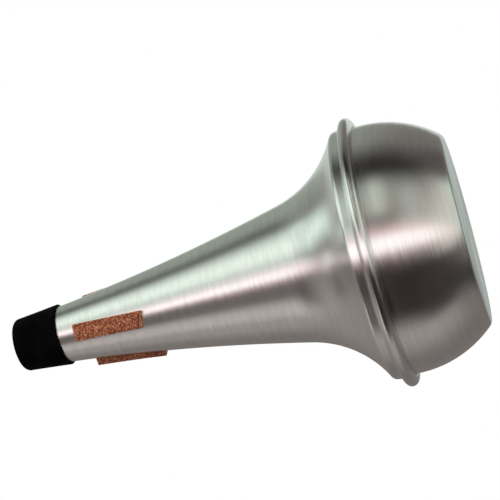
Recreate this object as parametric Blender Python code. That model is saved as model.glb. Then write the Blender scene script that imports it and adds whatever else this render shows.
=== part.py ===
# Straight mute for a tenor trombone.
# Two spun aluminium shells are hemmed together at the widest ring: a horn that is open at its
# narrow end, and a bowl that closes the wide end. A rubber sleeve covers the narrow end, and three
# cork strips are glued to the neck, where they grip the trombone's bell and leave a way for the air.
# Units are metres, +Z is up. The mute stands on its flat wide end, with its axis on Z.

import bmesh
import bpy
from math import atan2, cos, hypot, pi, radians, sin, sqrt, tan

MM = 0.001

# Whole object
OVERALL_HEIGHT = 226.2 * MM
SEGMENTS = 56
CLEARANCE = 0.3 * MM

# Spun sheet
HORN_WALL = 1.0 * MM
BOWL_WALL = 1.0 * MM

# Horn: neck, flare and step, with angles measured from the mute's axis
NECK_TOP_RADIUS = 11.8 * MM
NECK_TOP_ANGLE = radians(5.3)
NECK_TOP_HANDLE = 36.0 * MM
NECK_FOOT_ANGLE = radians(12.9)
NECK_FOOT_HANDLE = 60.0 * MM
FLARE_RADIUS = 51.6 * MM
FLARE_END_ANGLE = radians(61.4)
STEP_CORNER_RADIUS = 3.4 * MM
STEP_LAND = 0.2 * MM
STEP_OVERHANG = 0.8 * MM
NOTCH_RADIUS = 0.5 * MM

# Rolled bead that hems the horn over the bowl's flange, an overhang is measured from the bowl
BEAD_HEIGHT = 42.3 * MM
BEAD_OVERHANG = 5.3 * MM
BEAD_ROLL_RADIUS = 2.1 * MM
BEAD_FLANK_ANGLE = radians(45)
HEM_EDGE_BREAK = 0.25 * MM

# Bowl: a straight collar under the flange, then one curve down to the flat base
BOWL_RADIUS = 60.1 * MM
BOWL_COLLAR = 4.1 * MM
BOWL_CURVE_RADIUS = 54.1 * MM
BASE_CORNER_RADIUS = 3.9 * MM
FLANGE_BEND_RADIUS = 0.5 * MM

# Rubber sleeve over the open narrow end
SLEEVE_LENGTH = 23.6 * MM
SLEEVE_WALL = 1.0 * MM
SLEEVE_END_THICKNESS = 2.6 * MM
SLEEVE_END_RADIUS = 3.0 * MM
SLEEVE_MOUTH_BREAK = 0.4 * MM
SLEEVE_LIP_LENGTH = 6.0 * MM
SLEEVE_EDGE_BREAK = 0.4 * MM

# Cork strips: glued on by hand, so their spacing is a little uneven and the first one slants
CORK_TO_SLEEVE = 10.7 * MM
CORK_LENGTH = 34.3 * MM
CORK_WIDTH = 8.2 * MM
CORK_FOOT_THICKNESS = 2.9 * MM
CORK_TOP_THICKNESS = 3.35 * MM
CORK_EDGE_BREAK = 0.3 * MM
CORK_AZIMUTHS = (radians(265.6), radians(160.5), radians(40.0))
CORK_SLANTS = (radians(2.1), 0.0, 0.0)

# Number of straight pieces in each curve
NECK_STEPS = 9
FLARE_STEPS = 8
STEP_CORNER_STEPS = 4
NOTCH_STEPS = 2
BEAD_STEPS = 8
BOWL_STEPS = 8
BASE_CORNER_STEPS = 3
FLANGE_BEND_STEPS = 2
SLEEVE_END_STEPS = 4
CORK_STEPS_ACROSS = 4
CORK_STEPS_ALONG = 5

# Points nearer than this are one point, and edges bent more than this are sharp
MERGE_DISTANCE = 0.01 * MM
SHARP_ANGLE = radians(35)

# Finishes: colour, metallic value and roughness
FINISHES = {
    "satin_aluminium": ((0.66, 0.67, 0.66), 1.0, 0.34),
    "black_rubber": ((0.008, 0.008, 0.008), 0.0, 0.75),
    "cork": ((0.30, 0.105, 0.050), 0.0, 0.90),
}


def clear_scene():
    for thing in list(bpy.data.objects):
        bpy.data.objects.remove(thing, do_unlink=True)


def finish(name):
    colour, metallic, roughness = FINISHES[name]
    material = bpy.data.materials.get(name) or bpy.data.materials.new(name)
    material.use_nodes = True
    shader = material.node_tree.nodes["Principled BSDF"]
    shader.inputs["Base Color"].default_value = (*colour, 1.0)
    shader.inputs["Metallic"].default_value = metallic
    shader.inputs["Roughness"].default_value = roughness
    return material


# A meridian is a list of (radius, height, heading) that runs down the outer side of a turned wall.
# The heading is the angle of the downward path away from the axis, and the wall's outward normal
# at that heading is (cos heading, sin heading).

def meridian_arc(centre, radius, first_heading, last_heading, steps, hollow=False):
    # A bulging arc has its centre inside the wall's path, and a hollow one outside it
    side = -1 if hollow else 1
    points = []
    for step in range(steps + 1):
        heading = first_heading + (last_heading - first_heading) * step / steps
        points.append((centre[0] + side * radius * cos(heading),
                       centre[1] + side * radius * sin(heading), heading))
    return points


def meridian_bezier(top, foot, top_handle, foot_handle, steps):
    # Cubic curve between two meridian points, which leaves and arrives along their headings
    ends = []
    for (radius, height, heading), handle in ((top, top_handle), (foot, -foot_handle)):
        ends.append((radius + handle * sin(heading), height - handle * cos(heading)))
    controls = (top[:2], ends[0], ends[1], foot[:2])
    points = []
    for step in range(steps + 1):
        t = step / steps
        weights = ((1 - t) ** 3, 3 * t * (1 - t) ** 2, 3 * t * t * (1 - t), t ** 3)
        slopes = (-3 * (1 - t) ** 2, 3 * (1 - t) * (1 - 3 * t), 3 * t * (2 - 3 * t), 3 * t * t)
        radius, height = (sum(w * c[axis] for w, c in zip(weights, controls)) for axis in (0, 1))
        outward, upward = (sum(s * c[axis] for s, c in zip(slopes, controls)) for axis in (0, 1))
        points.append((radius, height, atan2(outward, -upward)))
    return points


def without_repeats(points):
    kept = [points[0]]
    for point in points[1:]:
        if hypot(point[0] - kept[-1][0], point[1] - kept[-1][1]) > MERGE_DISTANCE:
            kept.append(point)
    return kept


def offset(meridian, distance):
    return [(r + distance * cos(heading), z + distance * sin(heading)) for r, z, heading in meridian]


def radius_at(line, height):
    # Radius where a downward line of (radius, height) crosses a height
    for (r0, z0), (r1, z1) in zip(line, line[1:]):
        if z1 <= height <= z0:
            return r0 + (r1 - r0) * (z0 - height) / (z0 - z1)
    raise ValueError("height lies off the line")


def between(line, low, high):
    # The stretch of a downward line between two heights, with a point at each of them
    inside = [point for point in line if low < point[1] < high]
    return [(radius_at(line, high), high)] + inside + [(radius_at(line, low), low)]


# Places that more than one piece works from

HORN_TOP = OVERALL_HEIGHT - SLEEVE_END_THICKNESS - CLEARANCE
SLEEVE_FOOT = OVERALL_HEIGHT - SLEEVE_LENGTH
BEAD_CENTRE_RADIUS = BOWL_RADIUS + BEAD_OVERHANG - BEAD_ROLL_RADIUS


def horn_meridian():
    # Worked out upwards from the bead, and joined to the narrow end by the neck's curve
    bead_centre = (BEAD_CENTRE_RADIUS, BEAD_HEIGHT)
    bead = meridian_arc(bead_centre, BEAD_ROLL_RADIUS, BEAD_FLANK_ANGLE, -pi / 2, BEAD_STEPS)
    flank_foot = bead[0]

    step_radius = BOWL_RADIUS + STEP_OVERHANG
    flank_top_radius = step_radius + NOTCH_RADIUS * (1 - cos(BEAD_FLANK_ANGLE))
    flank_rise = (flank_foot[0] - flank_top_radius) / tan(BEAD_FLANK_ANGLE)
    notch_centre = (step_radius + NOTCH_RADIUS,
                    flank_foot[1] + flank_rise + NOTCH_RADIUS * sin(BEAD_FLANK_ANGLE))
    notch = meridian_arc(notch_centre, NOTCH_RADIUS, 0, BEAD_FLANK_ANGLE, NOTCH_STEPS, hollow=True)

    corner_centre = (step_radius - STEP_CORNER_RADIUS, notch_centre[1] + STEP_LAND)
    corner = meridian_arc(corner_centre, STEP_CORNER_RADIUS, FLARE_END_ANGLE, 0, STEP_CORNER_STEPS)

    flare_end = corner[0]
    flare_centre = (flare_end[0] + FLARE_RADIUS * cos(FLARE_END_ANGLE),
                    flare_end[1] + FLARE_RADIUS * sin(FLARE_END_ANGLE))
    flare = meridian_arc(flare_centre, FLARE_RADIUS, NECK_FOOT_ANGLE, FLARE_END_ANGLE,
                         FLARE_STEPS, hollow=True)

    neck_top = (NECK_TOP_RADIUS, HORN_TOP, NECK_TOP_ANGLE)
    neck = meridian_bezier(neck_top, flare[0], NECK_TOP_HANDLE, NECK_FOOT_HANDLE, NECK_STEPS)

    hem_edge_radius = BOWL_RADIUS + FLANGE_BEND_RADIUS + CLEARANCE + HEM_EDGE_BREAK
    hem_edge = (hem_edge_radius, bead[-1][1], -pi / 2)
    return without_repeats(neck + flare + corner + notch + bead + [hem_edge])


def horn_profile(meridian):
    # The sheet's outer side down, round the hem's eased edge, and its inner side up again
    outer = offset(meridian, 0)
    inner = offset(meridian, -HORN_WALL)
    edge_radius = outer[-1][0] - HEM_EDGE_BREAK
    eased_edge = [(edge_radius, outer[-1][1] + HEM_EDGE_BREAK),
                  (edge_radius, inner[-1][1] - HEM_EDGE_BREAK)]
    return outer + eased_edge + inner[::-1]


def bowl_meridian():
    # The flange lies on the inner face of the horn's hem. Its rim reaches the middle of the roll,
    # or less far where a thick flange would come near the bead's flank.
    free_roll = BEAD_ROLL_RADIUS - HORN_WALL - CLEARANCE
    flange_underside = BEAD_HEIGHT - free_roll
    flange_top = BOWL_WALL - free_roll
    flank_reach = (free_roll - flange_top * sin(BEAD_FLANK_ANGLE)) / cos(BEAD_FLANK_ANGLE)
    rim = (BEAD_CENTRE_RADIUS + min(0.0, flank_reach), flange_underside, -pi / 2)

    bend_centre = (BOWL_RADIUS + FLANGE_BEND_RADIUS, flange_underside - FLANGE_BEND_RADIUS)
    bend = meridian_arc(bend_centre, FLANGE_BEND_RADIUS, -pi / 2, 0, FLANGE_BEND_STEPS, hollow=True)

    curve_centre = (BOWL_RADIUS - BOWL_CURVE_RADIUS, bend_centre[1] - BOWL_COLLAR)
    reach = BOWL_CURVE_RADIUS - BASE_CORNER_RADIUS
    drop = curve_centre[1] - BASE_CORNER_RADIUS
    corner_centre = (curve_centre[0] + sqrt(reach ** 2 - drop ** 2), BASE_CORNER_RADIUS)
    meeting = atan2(corner_centre[1] - curve_centre[1], corner_centre[0] - curve_centre[0])
    curve = meridian_arc(curve_centre, BOWL_CURVE_RADIUS, 0, meeting, BOWL_STEPS)
    corner = meridian_arc(corner_centre, BASE_CORNER_RADIUS, meeting, -pi / 2, BASE_CORNER_STEPS)
    return without_repeats([rim] + bend + curve + corner + [(0.0, 0.0, -pi / 2)])


def bowl_profile(meridian):
    # From the middle of the floor, up the inner side, and down the outer side to the middle below
    return offset(meridian, -BOWL_WALL)[::-1] + offset(meridian, 0)


def sleeve_profile(meridian):
    # Down the rubber's outer side, up between rubber and horn, over the horn's rim, down to the
    # end of the lip, and up the mouth
    grip = offset(meridian, CLEARANCE)
    skin = offset(meridian, CLEARANCE + SLEEVE_WALL)
    throat = offset(meridian, -HORN_WALL - CLEARANCE)
    mouth = offset(meridian, -HORN_WALL - CLEARANCE - SLEEVE_WALL)

    near_rim = HORN_TOP - CLEARANCE
    rim_height = HORN_TOP + CLEARANCE
    grip_side = between(grip, SLEEVE_FOOT, near_rim)[::-1]
    rim = [(grip_side[-1][0], rim_height), (throat[0][0], rim_height)]

    lip_foot = HORN_TOP - SLEEVE_LIP_LENGTH
    throat_side = between(throat, lip_foot, near_rim)
    mouth_side = between(mouth, lip_foot, near_rim)[::-1]
    mouth_radius = mouth_side[-1][0]
    mouth_edge = [(mouth_radius, OVERALL_HEIGHT - SLEEVE_MOUTH_BREAK),
                  (mouth_radius + SLEEVE_MOUTH_BREAK, OVERALL_HEIGHT)]

    # The outer corner is as round as the rubber at the rim leaves room for
    rubber_width = radius_at(skin, near_rim) - mouth_radius
    end_radius = min(SLEEVE_END_RADIUS, rubber_width - 2 * SLEEVE_MOUTH_BREAK)
    corner_height = OVERALL_HEIGHT - end_radius
    corner_centre = (radius_at(skin, corner_height) - end_radius, corner_height)
    corner = meridian_arc(corner_centre, end_radius, pi / 2, 0, SLEEVE_END_STEPS)
    side = between(skin, SLEEVE_FOOT + SLEEVE_EDGE_BREAK, corner_height)[1:]
    outer = [point[:2] for point in corner] + side
    edge = [(outer[-1][0] - SLEEVE_EDGE_BREAK, SLEEVE_FOOT)]
    return outer + edge + grip_side + rim + throat_side + mouth_side + mouth_edge


def turned(name, profile, finish_name, closed):
    # A profile in the XZ plane, spun once round the Z axis
    mesh = bpy.data.meshes.new(name)
    shape = bmesh.new()
    verts = [shape.verts.new((radius, 0, height)) for radius, height in profile]
    pairs = list(zip(verts, verts[1:]))
    if closed:
        pairs.append((verts[-1], verts[0]))
    edges = [shape.edges.new(pair) for pair in pairs]
    bmesh.ops.spin(shape, geom=verts + edges, cent=(0, 0, 0), axis=(0, 0, 1), dvec=(0, 0, 0),
                   angle=2 * pi, steps=SEGMENTS, use_merge=True)
    bmesh.ops.remove_doubles(shape, verts=shape.verts, dist=MERGE_DISTANCE)
    bmesh.ops.recalc_face_normals(shape, faces=shape.faces)
    shape.to_mesh(mesh)
    shape.free()
    mesh.shade_smooth()
    mesh.set_sharp_from_angle(angle=SHARP_ANGLE)
    mesh.materials.append(finish(finish_name))
    return place(bpy.data.objects.new(name, mesh))


def place(thing):
    bpy.context.collection.objects.link(thing)
    thing.parent = mute
    return thing


def cork_strip(name, seat, azimuth, slant):
    # A strip with parallel sides, bent to the neck, whose long edges follow the seat's line.
    # It is drawn on the +X side and turned to its place.
    rows = CORK_STEPS_ALONG + 1
    columns = CORK_STEPS_ACROSS + 1
    foot = SLEEVE_FOOT - CORK_TO_SLEEVE - CORK_LENGTH
    shape = bmesh.new()
    layers = []
    for face in (0, 1):
        layer = []
        for row in range(rows):
            share = row / CORK_STEPS_ALONG
            height = foot + share * CORK_LENGTH
            thickness = CORK_FOOT_THICKNESS + share * (CORK_TOP_THICKNESS - CORK_FOOT_THICKNESS)
            radius = radius_at(seat, height) + face * thickness
            drift = tan(slant) * (share - 0.5) * CORK_LENGTH
            line = []
            for column in range(columns):
                across = (column / CORK_STEPS_ACROSS - 0.5) * CORK_WIDTH + drift
                line.append(shape.verts.new((sqrt(radius ** 2 - across ** 2), across, height)))
            layer.append(line)
        layers.append(layer)

    inner, outer = layers
    for low in range(rows - 1):
        for left in range(columns - 1):
            for layer in layers:
                shape.faces.new((layer[low][left], layer[low][left + 1],
                                 layer[low + 1][left + 1], layer[low + 1][left]))
        for side in (0, columns - 1):
            shape.faces.new((inner[low][side], outer[low][side],
                             outer[low + 1][side], inner[low + 1][side]))
    for end in (0, rows - 1):
        for left in range(columns - 1):
            shape.faces.new((inner[end][left], inner[end][left + 1],
                             outer[end][left + 1], outer[end][left]))
    bmesh.ops.recalc_face_normals(shape, faces=shape.faces)

    mesh = bpy.data.meshes.new(name)
    shape.to_mesh(mesh)
    shape.free()
    mesh.shade_smooth()
    mesh.set_sharp_from_angle(angle=SHARP_ANGLE)
    mesh.materials.append(finish("cork"))
    strip = place(bpy.data.objects.new(name, mesh))
    strip.rotation_euler[2] = azimuth
    bevel = strip.modifiers.new("eased_edges", "BEVEL")
    bevel.width = CORK_EDGE_BREAK
    bevel.segments = 1
    bevel.limit_method = "ANGLE"
    bevel.angle_limit = SHARP_ANGLE
    return strip


clear_scene()
mute = bpy.data.objects.new("mute_axis", None)
mute.empty_display_size = OVERALL_HEIGHT / 4
bpy.context.collection.objects.link(mute)

horn = horn_meridian()
turned("horn_shell", horn_profile(horn), "satin_aluminium", closed=True)
turned("base_bowl", bowl_profile(bowl_meridian()), "satin_aluminium", closed=False)
turned("tip_sleeve", sleeve_profile(horn), "black_rubber", closed=True)
cork_seat = offset(horn, CLEARANCE)
for number, (azimuth, slant) in enumerate(zip(CORK_AZIMUTHS, CORK_SLANTS), start=1):
    cork_strip(f"cork_strip_{number}", cork_seat, azimuth, slant)
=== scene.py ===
import bpy
import numpy as np
from math import cos, pi, radians, sin, sqrt, tan
from mathutils import Matrix, Vector


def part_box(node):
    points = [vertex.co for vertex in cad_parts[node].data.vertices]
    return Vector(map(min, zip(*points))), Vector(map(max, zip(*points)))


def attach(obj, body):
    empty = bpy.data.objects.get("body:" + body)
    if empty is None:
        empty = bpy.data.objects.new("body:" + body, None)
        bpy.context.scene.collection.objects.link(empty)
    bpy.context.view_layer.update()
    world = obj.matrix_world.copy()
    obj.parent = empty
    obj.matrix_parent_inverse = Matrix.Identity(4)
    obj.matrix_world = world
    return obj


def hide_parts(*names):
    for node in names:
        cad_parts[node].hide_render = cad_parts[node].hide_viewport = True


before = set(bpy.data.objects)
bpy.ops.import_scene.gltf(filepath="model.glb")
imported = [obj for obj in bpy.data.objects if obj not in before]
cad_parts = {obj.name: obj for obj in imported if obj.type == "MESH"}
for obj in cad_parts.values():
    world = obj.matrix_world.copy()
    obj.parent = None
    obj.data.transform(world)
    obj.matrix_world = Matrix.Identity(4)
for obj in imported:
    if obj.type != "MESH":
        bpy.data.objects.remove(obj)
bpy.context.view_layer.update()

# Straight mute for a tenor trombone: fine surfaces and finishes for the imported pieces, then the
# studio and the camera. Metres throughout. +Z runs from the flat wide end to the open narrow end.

mm = 0.001
tiny = 1e-9                                       # so that nothing is divided by 0
print("frame loaded:", ", ".join(sorted(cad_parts)))


# Shader expressions. A Wire is one number socket, and arithmetic on it adds Math nodes.

class Wire:
    def __init__(self, shop, socket):
        self.shop = shop
        self.socket = socket

    def join(self, operation, *others):
        values = dict(enumerate((self,) + others))
        return self.shop.node("Math", {"operation": operation}, values).number()

    def __add__(self, other):
        return self.join("ADD", other)

    def __radd__(self, other):
        return self.join("ADD", other)

    def __sub__(self, other):
        return self.join("SUBTRACT", other)

    def __rsub__(self, other):
        return self.join("MULTIPLY_ADD", -1.0, other)

    def __mul__(self, other):
        return self.join("MULTIPLY", other)

    def __rmul__(self, other):
        return self.join("MULTIPLY", other)

    def __truediv__(self, other):
        return self.join("DIVIDE", other)

    def __pow__(self, other):
        return self.join("POWER", other)

    def clipped(self):
        # Held between 0 and 1
        return self.shop.node("Math", {"operation": "ADD", "use_clamp": True},
                              {0: self, 1: 0.0}).number()

    def step(self, low, high):
        # Smoothly from 0 at low to 1 at high
        return self.shop.node("MapRange", {"interpolation_type": "SMOOTHSTEP"},
                              {"Value": self, "From Min": low, "From Max": high}).number()


class Made:
    # A node that has been made, with its outputs as numbers or as plain sockets
    def __init__(self, shop, node):
        self.shop = shop
        self.node = node

    def number(self, output=0):
        return Wire(self.shop, self.node.outputs[output])

    def out(self, output=0):
        return self.node.outputs[output]


class Workshop:
    # Makes the nodes of one material or world
    def __init__(self, holder):
        self.holder = holder
        holder.use_nodes = True
        self.tree = holder.node_tree
        self.tree.nodes.clear()

    def node(self, kind, settings, values):
        made = self.tree.nodes.new("ShaderNode" + kind)
        for key, value in settings.items():
            if key == "stops":
                setStops(made.color_ramp, value)
            else:
                setattr(made, key, value)
        for key, value in values.items():
            socket = made.inputs[key]
            if isinstance(value, Wire):
                self.tree.links.new(value.socket, socket)
            elif isinstance(value, bpy.types.NodeSocket):
                self.tree.links.new(value, socket)
            else:
                socket.default_value = value
        return Made(self, made)

    def objectPlace(self):
        return self.node("TexCoord", {}, {}).out("Object")

    def field(self, name):
        # A number that the mesh carries at its points
        return self.node("Attribute", {"attribute_name": name}, {}).number("Fac")

    def parts(self, vector):
        split = self.node("SeparateXYZ", {}, {0: vector})
        return split.number(0), split.number(1), split.number(2)

    def vector(self, x, y, z):
        return self.node("CombineXYZ", {}, {0: x, 1: y, 2: z}).out()

    def vectorMaths(self, operation, *values):
        return self.node("VectorMath", {"operation": operation}, dict(enumerate(values))).out()

    def noise(self, vector, scale, detail=2.0, roughness=0.5):
        # Noise about 0.5
        return self.node("TexNoise", {}, {"Vector": vector, "Scale": scale, "Detail": detail,
                                          "Roughness": roughness}).number()

    def blend(self, share, first, second):
        # The colour sockets of a Mix node are its seventh and eighth
        return self.node("Mix", {"data_type": "RGBA"}, {0: share, 6: first, 7: second}).out(2)

    def finish(self, shader, target="OutputMaterial"):
        self.node(target, {}, {"Surface": shader})
        return self.holder


def setStops(ramp, stops):
    while len(ramp.elements) < len(stops):
        ramp.elements.new(1.0)
    for element, (place, shade) in zip(ramp.elements, stops):
        element.position = place
        element.color = shade


def tint(red, green, blue):
    return (red, green, blue, 1.0)


# Profiles. A path is an array with a row for each point: radius, height and heading. The heading
# is the downward path's angle away from the axis, so the wall faces (cos heading, sin heading).

samePlace = 0.001 * mm                            # points no further apart than this are one


def arcPath(centre, radius, first, last, count, hollow=False):
    # The heading runs evenly from first to last. The point lies at the centre plus the radius
    # times (cos, sin) of the heading, or minus it where the wall is hollow.
    heading = np.linspace(first, last, count)
    side = -radius if hollow else radius
    return np.stack([centre[0] + side * np.cos(heading),
                     centre[1] + side * np.sin(heading), heading], 1)


def linePath(start, end, heading, count):
    # Even steps from start to end under one heading
    share = np.linspace(0, 1, count)[:, None]
    places = (1 - share) * np.array(start) + share * np.array(end)
    return np.hstack([places, np.full((count, 1), heading)])


def curvePath(top, foot, topHandle, footHandle, count):
    # Cubic curve: the sum of its four corners, each times its power of t and 1 - t, and the slope
    # of that sum gives the heading
    corners = np.array([top[:2],
                        (top[0] + topHandle * sin(top[2]), top[1] - topHandle * cos(top[2])),
                        (foot[0] - footHandle * sin(foot[2]), foot[1] + footHandle * cos(foot[2])),
                        foot[:2]])
    t = np.linspace(0, 1, count)
    weights = [(1 - t) ** 3, 3 * t * (1 - t) ** 2, 3 * t * t * (1 - t), t ** 3]
    slopes = [-3 * (1 - t) ** 2, 3 * (1 - t) * (1 - 3 * t), 3 * t * (2 - 3 * t), 3 * t * t]
    ahead = np.stack(slopes, 1) @ corners
    return np.hstack([np.stack(weights, 1) @ corners, np.arctan2(ahead[:, :1], -ahead[:, 1:])])


def steps(path):
    # The distance from each point to the next
    return np.hypot(*np.diff(path[:, :2], axis=0).T)


def joinPaths(*paths):
    # One after another, without points that lie on the one before
    path = np.concatenate(paths)
    return path[np.concatenate([[True], steps(path) > samePlace])]


def offsetPath(path, distance):
    # Each point moved by the distance the way its wall faces
    return np.stack([path[:, 0] + distance * np.cos(path[:, 2]),
                     path[:, 1] + distance * np.sin(path[:, 2]), path[:, 2]], 1)


def valueAt(path, height, column=0):
    # Radius, or heading with column 2, of a downward path at a height
    return float(np.interp(-height, -path[:, 1], path[:, column]))


def between(path, low, high):
    # The stretch of a downward path between two heights
    inside = path[(path[:, 1] > low) & (path[:, 1] < high)]
    ends = [[valueAt(path, z), z, valueAt(path, z, 2)] for z in (high, low)]
    return np.concatenate([ends[:1], inside, ends[1:]])


def smooth(share):
    # 0 up to a share of 0, 1 from a share of 1 on, and share^2 * (3 - 2 * share) between them
    share = np.clip(share, 0, 1)
    return share * share * (3 - 2 * share)


# Meshes

def addObject(name, data):
    added = bpy.data.objects.new(name, data)
    bpy.context.scene.collection.objects.link(added)
    return added


def skin(rings, poles=()):
    # Four-cornered faces over a grid of closed rings. The last ring joins the first one, unless
    # there are two poles, and then a fan closes each end.
    rows, columns = rings.shape[:2]
    spans = rows - 1 if len(poles) else rows
    row, column = np.meshgrid(np.arange(spans), np.arange(columns), indexing="ij")
    onward, beside = (row + 1) % rows, (column + 1) % columns
    faces = np.stack([row * columns + column, onward * columns + column,
                      onward * columns + beside, row * columns + beside], -1)
    faces = faces.reshape(-1, 4).tolist()
    points = rings.reshape(-1, 3)
    if len(poles):
        first = np.arange(columns)
        last = first + (rows - 1) * columns
        pole = np.full(columns, len(points))
        faces += np.stack([pole, first, np.roll(first, -1)], 1).tolist()
        faces += np.stack([last, pole + 1, np.roll(last, -1)], 1).tolist()
        points = np.concatenate([points, poles])
    return points, faces


def makePiece(name, points, faces, material, node, fields):
    # A smooth piece that rides on the mute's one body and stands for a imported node. Its fields
    # are numbers at the points, for the material to read.
    mesh = bpy.data.meshes.new(name)
    mesh.from_pydata(points.tolist(), [], faces)
    mesh.shade_smooth()
    mesh.materials.append(material)
    for field, values in fields.items():
        layer = mesh.attributes.new(field, "FLOAT", "POINT")
        layer.data.foreach_set("value", values.astype(np.float32))
    piece = addObject(name, mesh)
    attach(piece, "root")
    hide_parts(node)
    print("made", name, "with", len(faces), "faces")


def turnedPiece(name, path, segments, closed, material, node, fields):
    # The profile carried round the axis: x = radius * cos(turn), y = radius * sin(turn) and
    # z = height. A closed path is a loop, and any other one starts and ends on the axis.
    turn = np.linspace(0, 2 * pi, segments, endpoint=False)
    rows = slice(None) if closed else slice(1, -1)
    radius, height = path[rows, 0:1], path[rows, 1:2]
    rings = np.stack([radius * np.cos(turn), radius * np.sin(turn), height + 0 * turn], 2)
    poles = [] if closed else [[0, 0, path[0, 1]], [0, 0, path[-1, 1]]]
    points, faces = skin(rings, poles)
    spread = {}
    for field, values in fields.items():
        ends = [] if closed else [values[0], values[-1]]
        spread[field] = np.concatenate([np.repeat(values[rows], segments), ends])
    makePiece(name, points, faces, material, node, spread)


# Spun aluminium. It reads three fields: along, the distance from the start of the profile, then
# the painted shade in the notch, at the hem and along the seam, and rolled, from 0 to 1 at the
# burnished edges.

metal = {
    "paleColour": (0.79, 0.80, 0.79),
    "darkColour": (0.69, 0.69, 0.68),
    # Painted shade in the notch, at the hem and along the seam: its colour, and its base share,
    # which the mottle raises or lowers
    "creviceShadeColour": (0.20, 0.19, 0.17),
    "creviceShadeCover": 0.8,
    "roughness": 0.26,                            # even, as noise in it leaves specks in a render
    "burnish": 0.04,                              # how much smoother the rolled edges are
    "stretch": 0.74,                              # reflections run long up the mute
    "stretchTurn": 0.25,                          # a quarter turn, from round it to up it
    # Turning marks, from fine to broad: the width, how soon one changes as it runs round the mute,
    # and its weights in the shade and in the lean
    "marks": ((0.8 * mm, 3.0, 0.9, 0.9), (2.2 * mm, 2.0, 0.9, 0.7), (6.0 * mm, 1.2, 0.5, 0.2)),
    "lean": 0.022,                                # sideways, which frays a reflection's edges
    "mottleTurns": 1.5,                           # how soon the mottle changes round the mute,
    "mottleScale": 30.0,                          # and how often in a metre up it
    "mottleShade": 0.6,
    "lacquer": 0.2,
    "lacquerRoughness": 0.05,
}


def metalFields(path, crevice, rolled):
    along = np.concatenate([[0], np.cumsum(steps(path))])
    return {"along": along, "crevice": crevice, "rolled": rolled}


def shadeNear(path, place, strength, reach):
    # Painted shade: the strength at the place, falling smoothly to 0 at the reach from it
    away = np.hypot(path[:, 0] - place[0], path[:, 1] - place[1])
    return strength * smooth(1 - away / reach)


def spunMetal():
    shop = Workshop(bpy.data.materials.new("spun aluminium"))
    x, y, z = shop.parts(shop.objectPlace())
    along, crevice, rolled = shop.field("along"), shop.field("crevice"), shop.field("rolled")
    radius = (x * x + y * y + tiny) ** 0.5
    outX, outY = x / radius, y / radius

    # The mottle is broad and soft. A mark is noise that changes fast along the profile and slowly
    # round the axis.
    mottleTurns = metal["mottleTurns"]
    mottlePlace = shop.vector(outX * mottleTurns, outY * mottleTurns, z * metal["mottleScale"])
    mottle = shop.noise(mottlePlace, 1.0, detail=3.0) - 0.5
    shade, lean = mottle * metal["mottleShade"] + 0.5, 0.0
    for width, turns, shadeWeight, leanWeight in metal["marks"]:
        markPlace = shop.vector(outX * turns, outY * turns, along / width)
        mark = shop.noise(markPlace, 1.0, detail=1.0) - 0.5
        shade = mark * shadeWeight + shade
        lean = mark * leanWeight + lean

    bright = shop.blend(shade.clipped(), tint(*metal["darkColour"]), tint(*metal["paleColour"]))
    # Painted shade darkens the notch, the hem and the seam, more where the mottle is high
    paintedShade = (crevice * (metal["creviceShadeCover"] + mottle)).clipped()
    surface = shop.blend(paintedShade, bright, tint(*metal["creviceShadeColour"]))

    # Each mark leans a little round the mute, so that the edges of a reflection fray
    lean = lean * metal["lean"]
    sideways = shop.vector(outY * lean * -1.0, outX * lean, 0.0)
    facing = shop.node("NewGeometry", {}, {}).out("Normal")
    normal = shop.vectorMaths("NORMALIZE", shop.vectorMaths("ADD", facing, sideways))

    shader = shop.node("BsdfPrincipled", {}, {
        "Base Color": surface, "Metallic": 1.0, "Normal": normal,
        "Roughness": metal["roughness"] - rolled * metal["burnish"],
        "Anisotropic": metal["stretch"], "Anisotropic Rotation": metal["stretchTurn"],
        "Coat Weight": metal["lacquer"], "Coat Roughness": metal["lacquerRoughness"]})
    return shop.finish(shader.out())


# Horn: neck, flare, rounded step, and the bead whose edge is folded under as a hem

horn = {
    "wall": 1.0 * mm,
    "topDepth": 2.9 * mm,                         # its top edge lies this far inside the sleeve
    "topRadius": 11.8 * mm,
    "topAngle": radians(5.3),
    "topHandle": 36.0 * mm,
    "footAngle": radians(12.9),
    "footHandle": 60.0 * mm,
    "flareRadius": 51.6 * mm,
    "flareEnd": radians(61.4),
    "stepCorner": 2.2 * mm,
    "stepRadius": 60.9 * mm,
    "stepAngle": radians(7.4),                    # the step's band widens downwards a little
    "stepWidth": 3.3 * mm,
    "notchRadius": 0.4 * mm,
    "shelfAngle": radians(84),
    "beadRadius": 65.4 * mm,
    "beadHeight": 42.8 * mm,
    "rollRadius": 2.6 * mm,
    "hemAngle": radians(-75),                     # the hem slopes down to the bowl
    "hemRadius": 60.85 * mm,
    # Painted shade in the notch and at the hem's edge: strength and reach
    "notchShade": (0.3, 0.6 * mm),                 # strength and reach
    "hemShade": (0.5, 0.7 * mm),
    "rolledFade": 1.0 * mm,                       # the burnish sets in over this height
    "segments": 360,
    "points": {"neck": 64, "flare": 44, "corner": 16, "band": 6, "notch": 9, "shelf": 4,
               "bead": 32, "hem": 4, "hemEdge": 9},
}
clearance = 0.3 * mm                              # air between pieces that touch in the real mute
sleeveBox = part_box("tip_sleeve")
hornTop = sleeveBox[1].z - horn["topDepth"]


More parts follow.
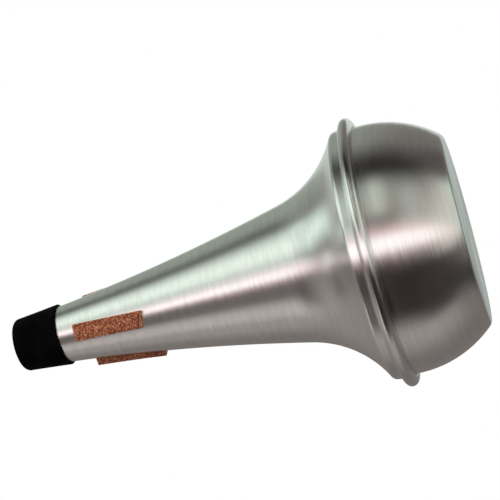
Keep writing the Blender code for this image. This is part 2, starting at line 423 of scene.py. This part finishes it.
def hornOutline():
    points = horn["points"]
    rollRadius, shelfAngle, hemAngle = horn["rollRadius"], horn["shelfAngle"], horn["hemAngle"]
    beadCentre = (horn["beadRadius"] - rollRadius, horn["beadHeight"])
    bead = arcPath(beadCentre, rollRadius, shelfAngle, hemAngle, points["bead"])
    hemFall = (bead[-1, 0] - horn["hemRadius"]) / tan(-hemAngle)
    hemEnd = (horn["hemRadius"], bead[-1, 1] - hemFall)
    hem = linePath(bead[-1, :2], hemEnd, hemAngle, points["hem"])

    # The notch ends on the shelf's line, which gives its height, and the band stands on the notch
    stepRadius, facing, radius = horn["stepRadius"], horn["stepAngle"], horn["notchRadius"]
    notchEnd = stepRadius + radius * (cos(facing) - cos(shelfAngle))
    shelfRise = (bead[0, 0] - notchEnd) / tan(shelfAngle)
    notchHeight = bead[0, 1] + shelfRise + radius * (sin(shelfAngle) - sin(facing))
    notchCentre = (stepRadius + radius * cos(facing), notchHeight + radius * sin(facing))
    notch = arcPath(notchCentre, radius, facing, shelfAngle, points["notch"], hollow=True)
    shelf = linePath(notch[-1, :2], bead[0, :2], shelfAngle, points["shelf"])
    width = horn["stepWidth"]
    bandTop = (stepRadius - width * sin(facing), notchHeight + width * cos(facing))
    band = linePath(bandTop, notch[0, :2], facing, points["band"])

    # Above the band come its rounded corner, the flare that bends the other way, and the neck
    bend, sweep, flareEnd = horn["stepCorner"], horn["flareRadius"], horn["flareEnd"]
    cornerCentre = (bandTop[0] - bend * cos(facing), bandTop[1] - bend * sin(facing))
    corner = arcPath(cornerCentre, bend, flareEnd, facing, points["corner"])
    flareCentre = (corner[0, 0] + sweep * cos(flareEnd), corner[0, 1] + sweep * sin(flareEnd))
    flare = arcPath(flareCentre, sweep, horn["footAngle"], flareEnd, points["flare"], hollow=True)
    neckTop = (horn["topRadius"], hornTop, horn["topAngle"])
    neck = curvePath(neckTop, flare[0], horn["topHandle"], horn["footHandle"], points["neck"])
    return joinPaths(neck, flare, corner, band, notch, shelf, bead, hem), notchHeight


def makeHorn(outline, notchHeight, material):
    # Down the outer side, round the hem's edge and up the inner side, with half the points
    inner = offsetPath(outline[::2], -horn["wall"])[::-1]
    edgeCentre = offsetPath(outline[-1:], -horn["wall"] / 2)[0]
    hemAngle, edgePoints = horn["hemAngle"], horn["points"]["hemEdge"]
    hemEdge = arcPath(edgeCentre, horn["wall"] / 2, hemAngle, hemAngle - pi, edgePoints)
    path = joinPaths(outline, hemEdge, inner)

    # Painted shade in the notch and along the hem's edge
    notchPlace = (horn["stepRadius"], notchHeight)
    hemPlace = (edgeCentre[0] - horn["wall"] / 2, edgeCentre[1])
    crevice = np.maximum(shadeNear(path, notchPlace, *horn["notchShade"]),
                         shadeNear(path, hemPlace, *horn["hemShade"]))
    stepTop = notchHeight + horn["stepWidth"] + horn["stepCorner"]
    rolled = np.clip((stepTop - path[:, 1]) / horn["rolledFade"], 0, 1)
    turnedPiece("horn", path, horn["segments"], True, material, "horn_shell",
                metalFields(path, crevice, rolled))


# Bowl: the flange inside the hem, the collar, one long curve, and the flat base

bowl = {
    "wall": 1.0 * mm,
    "radius": 60.1 * mm,
    "collar": 4.1 * mm,
    "curveRadius": 54.1 * mm,
    "baseCorner": 3.9 * mm,
    "flangeBend": 0.5 * mm,
    "seamRise": 0.5 * mm,                         # from the bead's foot up to the darkest painted shade
    "seamShade": (0.6, 0.7 * mm),                  # strength and reach of the painted shade at the seam
    "segments": 360,
    "points": {"rim": 4, "bend": 7, "collar": 5, "curve": 60, "corner": 18, "base": 24},
}


def makeBowl(material):
    points, radius, bendRadius = bowl["points"], bowl["radius"], bowl["flangeBend"]
    freeRoll = horn["rollRadius"] - horn["wall"] - clearance
    flangeUnderside = horn["beadHeight"] - freeRoll
    bendCentre = (radius + bendRadius, flangeUnderside - bendRadius)
    bend = arcPath(bendCentre, bendRadius, -pi / 2, 0, points["bend"], hollow=True)
    rimStart = (horn["beadRadius"] - horn["rollRadius"], flangeUnderside)
    rim = linePath(rimStart, bend[0, :2], -pi / 2, points["rim"])

    # The corner's circle touches the long curve from inside and rests on the floor
    curveRadius, baseCorner = bowl["curveRadius"], bowl["baseCorner"]
    curveCentre = (radius - curveRadius, bendCentre[1] - bowl["collar"])
    reach = curveRadius - baseCorner
    drop = curveCentre[1] - baseCorner
    cornerCentre = (curveCentre[0] + sqrt(reach ** 2 - drop ** 2), baseCorner)
    meeting = float(np.arctan2(cornerCentre[1] - curveCentre[1], cornerCentre[0] - curveCentre[0]))
    curve = arcPath(curveCentre, curveRadius, 0, meeting, points["curve"])
    corner = arcPath(cornerCentre, baseCorner, meeting, -pi / 2, points["corner"])
    collar = linePath(bend[-1, :2], curve[0, :2], 0, points["collar"])
    base = linePath(corner[-1, :2], (0, 0), -pi / 2, points["base"])
    outline = joinPaths(rim, bend, collar, curve, corner, base)

    # From the middle of the floor up the inner side, then down the outer side to the middle below
    inner = offsetPath(outline, -bowl["wall"])[::-1]
    path = joinPaths(inner, outline)
    # Painted shade along the seam under the bead
    seamPlace = (radius, horn["beadHeight"] - horn["rollRadius"] + bowl["seamRise"])
    crevice = shadeNear(path, seamPlace, *bowl["seamShade"])
    turnedPiece("bowl", path, bowl["segments"], False, material, "base_bowl",
                metalFields(path, crevice, np.zeros(len(path))))


# Rubber sleeve over the narrow end

sleeve = {
    "wall": 1.0 * mm,
    "endRadius": 3.0 * mm,
    "mouthBreak": 0.4 * mm,
    "lipLength": 6.0 * mm,
    "edgeBreak": 0.4 * mm,
    "segments": 192,
    "points": {"lip": 9, "mouthSide": 8, "mouthEdge": 6, "corner": 18, "edge": 6},
    "colour": (0.0010, 0.0010, 0.0010),
    "dustColour": (0.004, 0.004, 0.004),
    "grainScale": 1400.0,                         # grains in a metre, as every scale here counts
    "blotchScale": 90.0,
    "cleanBelow": 0.45,                           # dust lies where the blotches are above this
    "dustGain": 2.0,
    "roughness": 0.72,
    "roughnessSpread": 0.25,
    "gloss": 0.02,
    "bumpStrength": 0.35,
    "bumpDepth": 0.05 * mm,
}


def blackRubber():
    shop = Workshop(bpy.data.materials.new("black rubber"))
    place = shop.objectPlace()
    grain = shop.noise(place, sleeve["grainScale"], detail=3.0, roughness=0.6)
    blotch = shop.noise(place, sleeve["blotchScale"])
    dusty = ((blotch - sleeve["cleanBelow"]) * sleeve["dustGain"] + (grain - 0.5)).clipped()
    shade = shop.blend(dusty, tint(*sleeve["colour"]), tint(*sleeve["dustColour"]))
    roughness = sleeve["roughness"] + (grain - 0.5) * sleeve["roughnessSpread"]
    bump = shop.node("Bump", {}, {"Height": grain, "Strength": sleeve["bumpStrength"],
                                  "Distance": sleeve["bumpDepth"]})
    shader = shop.node("BsdfPrincipled", {}, {
        "Base Color": shade, "Roughness": roughness, "Specular IOR Level": sleeve["gloss"],
        "Normal": bump.out()})
    return shop.finish(shader.out())


def makeSleeve(outline, material):
    # Down the outer side, up beside the horn, over its rim, round the lip and up the mouth
    points, wall = sleeve["points"], sleeve["wall"]
    foot, top = sleeveBox[0].z, sleeveBox[1].z
    grip = offsetPath(outline, clearance)
    outside = offsetPath(outline, clearance + wall)
    throat = offsetPath(outline, -horn["wall"] - clearance)
    mouth = offsetPath(throat, -wall)
    lipFoot = hornTop - sleeve["lipLength"] + wall / 2

    gripSide = between(grip, foot, hornTop - clearance)[::-1]
    rimHeight = hornTop + clearance
    rim = np.array([[gripSide[-1, 0], rimHeight, 0], [valueAt(throat, hornTop), rimHeight, 0]])
    throatSide = between(throat, lipFoot, hornTop - clearance)
    lip = arcPath((throatSide[-1, 0] - wall / 2, lipFoot), wall / 2, 0, -pi, points["lip"])
    mouthBreak = sleeve["mouthBreak"]
    mouthCentre = (valueAt(mouth, hornTop - clearance) - mouthBreak, top - mouthBreak)
    mouthEdge = arcPath(mouthCentre, mouthBreak, 0, pi / 2, points["mouthEdge"])
    mouthSide = linePath(lip[-1, :2], mouthEdge[0, :2], pi, points["mouthSide"])

    endRadius, edgeBreak = sleeve["endRadius"], sleeve["edgeBreak"]
    cornerHeight = top - endRadius
    cornerCentre = (valueAt(outside, cornerHeight) - endRadius, cornerHeight)
    corner = arcPath(cornerCentre, endRadius, pi / 2, 0, points["corner"])
    side = between(outside, foot + edgeBreak, cornerHeight)[1:]
    edgeCentre = (side[-1, 0] - edgeBreak, foot + edgeBreak)
    edge = arcPath(edgeCentre, edgeBreak, 0, -pi / 2, points["edge"])
    path = joinPaths(corner, side, edge, gripSide, rim, throatSide, lip, mouthSide, mouthEdge)
    turnedPiece("sleeve", path, sleeve["segments"], True, material, "tip_sleeve",
                {})


# Cork strips

cork = {
    "width": 8.2 * mm,
    "footThickness": 2.9 * mm,
    "topThickness": 3.35 * mm,
    "edgeRadius": 0.25 * mm,
    "azimuths": (265.6, 160.5, 40.0),
    "slants": (2.1, 0.0, 0.0),
    # What the knife took off each strip's wide end: on its far side, all through, then more at
    # the near and at the far outer corner. Where it is less than 0, the strip is longer there.
    "footCuts": ((0.8 * mm, 0.5 * mm, 2.2 * mm), (0.1 * mm, -0.8 * mm, -0.5 * mm), (0.0, 0.0, 0.0)),
    "tipCuts": (-1.2 * mm, 0.9 * mm, 0.0),
    "cutFade": 3,                                 # the power by which a cut fades along a strip
    "extraThickness": ((0.0, 0.0), (0.3 * mm, 0.6 * mm), (-0.2 * mm, -0.2 * mm)),
    # Width of the painted shade along the outer edge of the wide end
    "edgeShadeWidth": 0.8 * mm,
    "crumble": 0.06 * mm,
    "deepestPit": 2.5,                            # as so many times the crumble
    "pitRise": 0.25,                              # pits deepen over this share of the height
    "rings": 120,
    "ringPoints": 72,
    "endRings": 8,
    "smallestRing": 0.12,
    "seed": 11,
    # Pressed granules: their size, the weights of what shades them, then the shades themselves
    "granule": 0.5 * mm,
    "chipsPerGranule": 2.3,
    "wobbleScale": 900.0,
    "wobble": 0.5 * mm,
    "mottleScale": 500.0,
    "grainWeight": 0.75,
    "chipWeight": 0.45,
    "mottleWeight": 0.4,
    # Painted light on the cut ends, and painted shade along the wide end's outer edge
    "endLightWeight": 0.30,
    "edgeShadeWeight": 0.45,
    "darker": 0.29,
    "shades": ((0.0, tint(0.058, 0.014, 0.009)), (0.3, tint(0.157, 0.040, 0.020)),
               (0.55, tint(0.265, 0.073, 0.036)), (0.8, tint(0.43, 0.155, 0.076)),
               (1.0, tint(0.67, 0.34, 0.175))),
    # Dark joints between the granules, and pores
    "jointStep": (0.45, 0.85),
    "jointWeight": 0.3,
    "poreScale": 2200.0,
    "poreStep": (0.58, 0.72),
    "poreWeight": 0.45,
    "poreColour": (0.07, 0.020, 0.011),
    "roughness": 0.8,
    "poreRoughness": 0.15,
    "gloss": 0.25,
    "grainRelief": 0.5,                           # against 1 for the joints and pores
    "bumpStrength": 0.6,
    "bumpDepth": 0.12 * mm,
}


def pressedCork():
    # It reads two fields: painted light on the cut ends, and painted shade at the outer edge of the
    # wide one
    shop = Workshop(bpy.data.materials.new("pressed cork"))
    place = shop.objectPlace()
    wobble = shop.node("TexNoise", {}, {"Vector": place, "Scale": cork["wobbleScale"],
                                        "Detail": 2.0}).out(1)
    sway = shop.vectorMaths("MULTIPLY", wobble, (cork["wobble"],) * 3)
    bent = shop.vectorMaths("ADD", place, sway)
    grainScale, chipScale = 1 / cork["granule"], cork["chipsPerGranule"] / cork["granule"]
    grains = shop.node("TexVoronoi", {}, {"Vector": bent, "Scale": grainScale})
    chips = shop.node("TexVoronoi", {}, {"Vector": bent, "Scale": chipScale})
    grainShade = shop.parts(grains.out("Color"))[0]
    chipShade = shop.parts(chips.out("Color"))[1]
    mottle = shop.noise(place, cork["mottleScale"], detail=3.0)
    share = grainShade * cork["grainWeight"] + chipShade * cork["chipWeight"]
    # The cut ends get painted light, and the wide end's outer edge gets painted shade
    share = share + mottle * cork["mottleWeight"] + shop.field("fresh") * cork["endLightWeight"]
    share = (share - shop.field("crease") * cork["edgeShadeWeight"] - cork["darker"]).clipped()
    shade = shop.node("ValToRGB", {"stops": cork["shades"]}, {0: share}).out()

    joints = grains.number("Distance").step(*cork["jointStep"])
    pores = (1.0 - shop.noise(place, cork["poreScale"])).step(*cork["poreStep"])
    dark = (joints * cork["jointWeight"] + pores * cork["poreWeight"]).clipped()
    surface = shop.blend(dark, shade, tint(*cork["poreColour"]))
    roughness = cork["roughness"] + dark * cork["poreRoughness"]
    relief = share * cork["grainRelief"] - dark
    bump = shop.node("Bump", {}, {"Height": relief, "Strength": cork["bumpStrength"],
                                  "Distance": cork["bumpDepth"]})
    shader = shop.node("BsdfPrincipled", {}, {
        "Base Color": surface, "Roughness": roughness, "Specular IOR Level": cork["gloss"],
        "Normal": bump.out()})
    return shop.finish(shader.out())


def makeCork(number, seat, material):
    # A box whose skin is drawn in to an even distance from a smaller box inside it, which rounds
    # its edges, then bent to the neck: with the seat's radius plus the height in the cork as r,
    # x = sqrt(r^2 - across^2) and y = across, turned to the strip's azimuth
    node = f"cork_strip_{number}"
    low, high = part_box(node)
    length, width, radius = high.z - low.z, cork["width"], cork["edgeRadius"]
    azimuth, slant = radians(cork["azimuths"][number - 1]), radians(cork["slants"][number - 1])
    thickness = (cork["footThickness"] + cork["topThickness"]) / 2

    # Rings of the full size along the strip, with smaller and smaller ones over both ends
    corners = np.cumsum([0, width, thickness, width, thickness])
    places = np.linspace(0, corners[-1], cork["ringPoints"], endpoint=False)
    ring = np.stack([np.interp(places, corners, np.array([-1, 1, 1, -1, -1]) * width / 2),
                     np.interp(places, corners, np.array([-1, -1, 1, 1, -1]) * thickness / 2)], 1)
    rings, endRings = cork["rings"], cork["endRings"]
    closing = np.linspace(cork["smallestRing"], 1, endRings, endpoint=False)
    size = np.concatenate([closing, np.ones(rings), closing[::-1]])
    reach = length * np.concatenate([np.full(endRings, -0.5), np.linspace(-0.5, 0.5, rings),
                                     np.full(endRings, 0.5)])
    box = np.concatenate([ring[None] * size[:, None, None],
                          np.broadcast_to(reach[:, None, None], (len(size), len(ring), 1))], 2)

    half = np.array([width, thickness, length]) / 2
    core = np.clip(box, radius - half, half - radius)
    away = box - core
    away = away / np.maximum(np.linalg.norm(away, axis=2, keepdims=True), tiny)

    # Crumbled faces: smoothed chance numbers push points in, and none on the glued side
    chance = np.random.default_rng(cork["seed"] + number).normal(size=box.shape[:2])
    for axis in (0, 1, 0, 1):
        chance = (np.roll(chance, 1, axis) + 2 * chance + np.roll(chance, -1, axis)) / 4
    pits = np.clip(chance / chance.std(), 0, cork["deepestPit"]) * cork["crumble"]
    free = np.clip((box[..., 1] / thickness + 0.5) / cork["pitRise"], 0, 1)
    points = core + away * (radius - pits * free)[..., None]
    points = np.concatenate([points.reshape(-1, 3), [[0, 0, -length / 2], [0, 0, length / 2]]])

    # The shares of the thickness, of the length and, from the far side, of the width
    across, up, run = points[:, 0], points[:, 1] / thickness + 0.5, points[:, 2] / length + 0.5
    edge = across / width + 0.5
    farCut, nearCorner, farCorner = cork["footCuts"][number - 1]
    footCut = farCut * (1 - edge) + up * (nearCorner * edge + farCorner * (1 - edge))
    tipCut, fade = cork["tipCuts"][number - 1], cork["cutFade"]
    height = low.z + run * length + footCut * (1 - run) ** fade - tipCut * run ** fade
    footExtra, topExtra = cork["extraThickness"][number - 1]
    foot, top = cork["footThickness"] + footExtra, cork["topThickness"] + topExtra
    rise = up * (foot + run * (top - foot))
    seatRadius = np.interp(-height, -seat[:, 1], seat[:, 0])
    side = across + tan(slant) * (run - 0.5) * length
    out = np.sqrt((seatRadius + rise) ** 2 - side ** 2)
    placed = np.stack([out * cos(azimuth) - side * sin(azimuth),
                       out * sin(azimuth) + side * cos(azimuth), height], 1)
    solid, faces = skin(placed[:-2].reshape(box.shape), placed[-2:])

    # The cut ends get painted light, and painted shade lines the outer edge of the wide one
    fresh = np.concatenate([np.repeat(size < 1, len(ring)), [1, 1]])
    crease = np.clip(1 - (run * length + (1 - up) * thickness) / cork["edgeShadeWidth"], 0, 1)
    makePiece(f"cork_{number}", solid, faces, material, node,
              {"fresh": fresh, "crease": crease})


aluminium = spunMetal()
outline, notchHeight = hornOutline()
makeHorn(outline, notchHeight, aluminium)
makeBowl(aluminium)
makeSleeve(outline, blackRubber())
corkFinish = pressedCork()
for number in (1, 2, 3):
    makeCork(number, outline, corkFinish)


# Studio: soft white boxes and black flags on a dome, which only reflections see. A panel has its
# middle azimuth, width, lowest and highest elevation, and how soft its sides and its ends are,
# all in degrees, then its light.

studio = {
    "domeRadius": 2.6,
    "domeMiddle": (0.0, 0.0, 0.11),
    "wall": (0.20, 0.18, 0.17),
    "panels": {
        "far wall": (155, 195, 30, 80, 10, 40, (0.32, 0.28, 0.27)),
        "top flag": (145, 35, 70, 95, 15, 10, (0.0, 0.0, 0.0)),
        "far wall glow": (195, 60, -40, 75, 45, 20, (0.40, 0.36, 0.34)),
        "side glow": (80, 25, -20, 45, 5, 25, (0.70, 0.77, 0.71)),
        "base card": (90, 14, -10, 1, 5, 5, (0.46, 0.52, 0.50)),
        "grey board": (25, 90, 0, 45, 5, 45, (0.36, 0.40, 0.35)),
        "right flag": (-18, 58, -75, 32, 40, 20, (0.02, 0.015, 0.015)),
        "right flag tail": (25, 40, -52, -34, 20, 10, (0.10, 0.09, 0.09)),
        "big box": (320, 50, 20, 50, 45, 10, (1.30, 1.45, 1.30)),
        "overhead arc": (5, 100, 55, 70, 45, 15, (1.10, 1.30, 1.15)),
        "box shoulder": (355, 25, 42, 52, 15, 8, (0.95, 1.15, 1.05)),
        "low right": (302, 65, -42, -22, 35, 20, (0.58, 0.60, 0.54)),
        "right gap": (300, 35, -20, 10, 15, 5, (0.05, 0.01, 0.01)),
        "green post": (318, 34, -10, 2, 20, 5, (1.07, 1.13, 0.98)),
        "box side": (285, 25, 15, 70, 10, 10, (0.80, 0.93, 0.87)),
        "strip": (276, 20, -80, 70, 28, 25, (1.40, 1.00, 1.00)),
        "strip middle": (275, 14, -55, 52, 8, 18, (1.55, 1.45, 1.45)),
        "left flag": (230, 60, -65, 26, 27, 8, (0.02, 0.013, 0.013)),
        "left flag edge": (248, 28, -6, 20, 16, 12, (0.03, 0.02, 0.02)),
        "left flag side": (215, 44, -48, -16, 16, 14, (0.04, 0.032, 0.032)),
        "left flag foot": (218, 46, -62, -34, 20, 16, (0.05, 0.04, 0.04)),
        "dim gap": (235, 57, 42, 56, 37, 9, (0.0, 0.0, 0.0)),
        "left patch": (211, 33, 28, 35, 25, 6, (1.40, 1.27, 1.22)),
        "low right glow": (50, 118, -95, -58, 15, 7, (0.65, 0.83, 0.70)),
        "low strip": (305, 113, -72, -57, 10, 45, (1.22, 1.14, 1.03)),
        "base glow": (330, 100, -92, -65, 28, 10, (0.72, 0.74, 0.67)),
        "low left dark": (147, 105, -72, -55, 15, 10, (0.05, 0.05, 0.05)),
        "top": (340, 220, 81, 94, 10, 5, (1.20, 1.10, 1.05)),
    },
    "roomLight": 0.45,
    "floorColour": (0.86, 0.86, 0.86),
    "floorSize": 30.0,
    "floorDrop": 0.2 * mm,                        # it lies this far below the mute
    "lamps": {                                    # place, size and power
        "key": ((1.8, -1.2, 1.2), 1.4, 50.0),
        "fill": ((-1.2, 1.4, 1.6), 1.6, 16.0),
    },
}


def makeDome():
    # A sphere of one-degree steps whose points hold the light of the panels, each laid over the
    # ones before it. Its faces look inwards.
    elevation = np.arange(89.0, -90.0, -1.0)[:, None]
    azimuth = np.arange(0, 360)[None, :]
    glow = np.ones((elevation.size, azimuth.size, 1)) * studio["wall"]
    for middle, width, low, high, sideEdge, endEdge, light in studio["panels"].values():
        aside = np.abs((azimuth - middle + 180) % 360 - 180) - width / 2
        beyond = np.maximum(low - elevation, elevation - high)
        cover = (smooth(0.5 - aside / sideEdge) * smooth(0.5 - beyond / endEdge))[..., None]
        glow = glow * (1 - cover) + cover * light

    up, turn = np.radians(elevation), np.radians(azimuth)
    ball = np.stack([np.cos(up) * np.cos(turn), np.cos(up) * np.sin(turn),
                     np.sin(up) + 0 * turn], 2)
    centre = np.array(studio["domeMiddle"])
    poles = centre + np.array([[0, 0, 1], [0, 0, -1]]) * studio["domeRadius"]
    points, faces = skin(centre + ball * studio["domeRadius"], poles)
    mesh = bpy.data.meshes.new("dome")
    mesh.from_pydata(points.tolist(), [], [face[::-1] for face in faces])
    lights = np.concatenate([glow.reshape(-1, 3), [glow[0].mean(0), glow[-1].mean(0)]])
    colours = np.hstack([lights, np.ones((len(lights), 1))]).astype(np.float32)
    mesh.attributes.new("glow", "FLOAT_COLOR", "POINT").data.foreach_set("color", colours.ravel())

    shop = Workshop(bpy.data.materials.new("dome light"))
    glowing = shop.node("Attribute", {"attribute_name": "glow"}, {}).out("Color")
    domeLight = shop.finish(shop.node("Emission", {}, {"Color": glowing}).out())
    domeLight.cycles.emission_sampling = "NONE"
    mesh.materials.append(domeLight)
    dome = addObject("dome", mesh)
    dome.visible_camera = dome.visible_diffuse = False
    dome.visible_shadow = dome.visible_transmission = False


def makeFloor():
    # Pale and one-sided: it isn't there for a camera that looks from below
    half, height = studio["floorSize"] / 2, -studio["floorDrop"]
    corners = [(-half, -half, height), (half, -half, height), (half, half, height),
               (-half, half, height)]
    mesh = bpy.data.meshes.new("floor")
    mesh.from_pydata(corners, [], [(0, 1, 2, 3)])
    shop = Workshop(bpy.data.materials.new("pale floor"))
    paint = shop.node("BsdfDiffuse", {}, {"Color": tint(*studio["floorColour"])}).out()
    clear = shop.node("BsdfTransparent", {}, {}).out()
    below = shop.node("NewGeometry", {}, {}).out("Backfacing")
    oneSided = shop.node("MixShader", {}, {0: below, 1: paint, 2: clear}).out()
    mesh.materials.append(shop.finish(oneSided))
    floor = addObject("floor", mesh)
    floor.visible_glossy = False


def makeWorld():
    # White where the camera or a reflection sees it, and a plain level as light
    world = bpy.data.worlds.new("room")
    bpy.context.scene.world = world
    shop = Workshop(world)
    path = shop.node("LightPath", {}, {})
    seen = path.number("Is Camera Ray") + path.number("Is Glossy Ray")
    seen = (seen + path.number("Is Transmission Ray")).clipped()
    white = tint(1, 1, 1)
    backdrop = shop.node("Background", {}, {"Color": white, "Strength": 1.0}).out()
    light = shop.node("Background", {}, {"Color": white, "Strength": studio["roomLight"]}).out()
    shop.finish(shop.node("MixShader", {}, {0: seen, 1: light, 2: backdrop}).out(), "OutputWorld")
    world.cycles.sampling_method = "NONE"


def makeLamps():
    for name, (place, size, power) in studio["lamps"].items():
        light = bpy.data.lights.new(name, "AREA")
        light.size, light.energy = size, power
        lamp = addObject(name, light)
        aim = (Vector(studio["domeMiddle"]) - Vector(place)).to_track_quat("-Z", "Y")
        lamp.matrix_world = Matrix.Translation(place) @ aim.to_matrix().to_4x4()
        lamp.visible_glossy = False


makeDome()
makeFloor()
makeWorld()
makeLamps()
print("studio ready")


# Camera: the photograph's angle, with the mute lying across the picture

viewpoint = {
    "place": (0, -0.79574, -0.03805),
    "right": (-0.25319, 0.17395, -0.95165),       # the picture's own directions in the scene
    "up": (0.9672, 0.02458, -0.25284),
    "back": (-0.02059, -0.98445, -0.17447),
    "lens": 121.1,
    "sensorWidth": 36.0,
    "clipStart": 0.01,
}

camera = addObject("camera", bpy.data.cameras.new("camera"))
camera.data.lens = viewpoint["lens"]
camera.data.sensor_width = viewpoint["sensorWidth"]
camera.data.clip_start = viewpoint["clipStart"]
turn = Matrix((viewpoint["right"], viewpoint["up"], viewpoint["back"])).transposed()
camera.matrix_world = Matrix.Translation(viewpoint["place"]) @ turn.to_4x4()
bpy.context.scene.camera = camera
bpy.context.scene.view_settings.view_transform = "Standard"
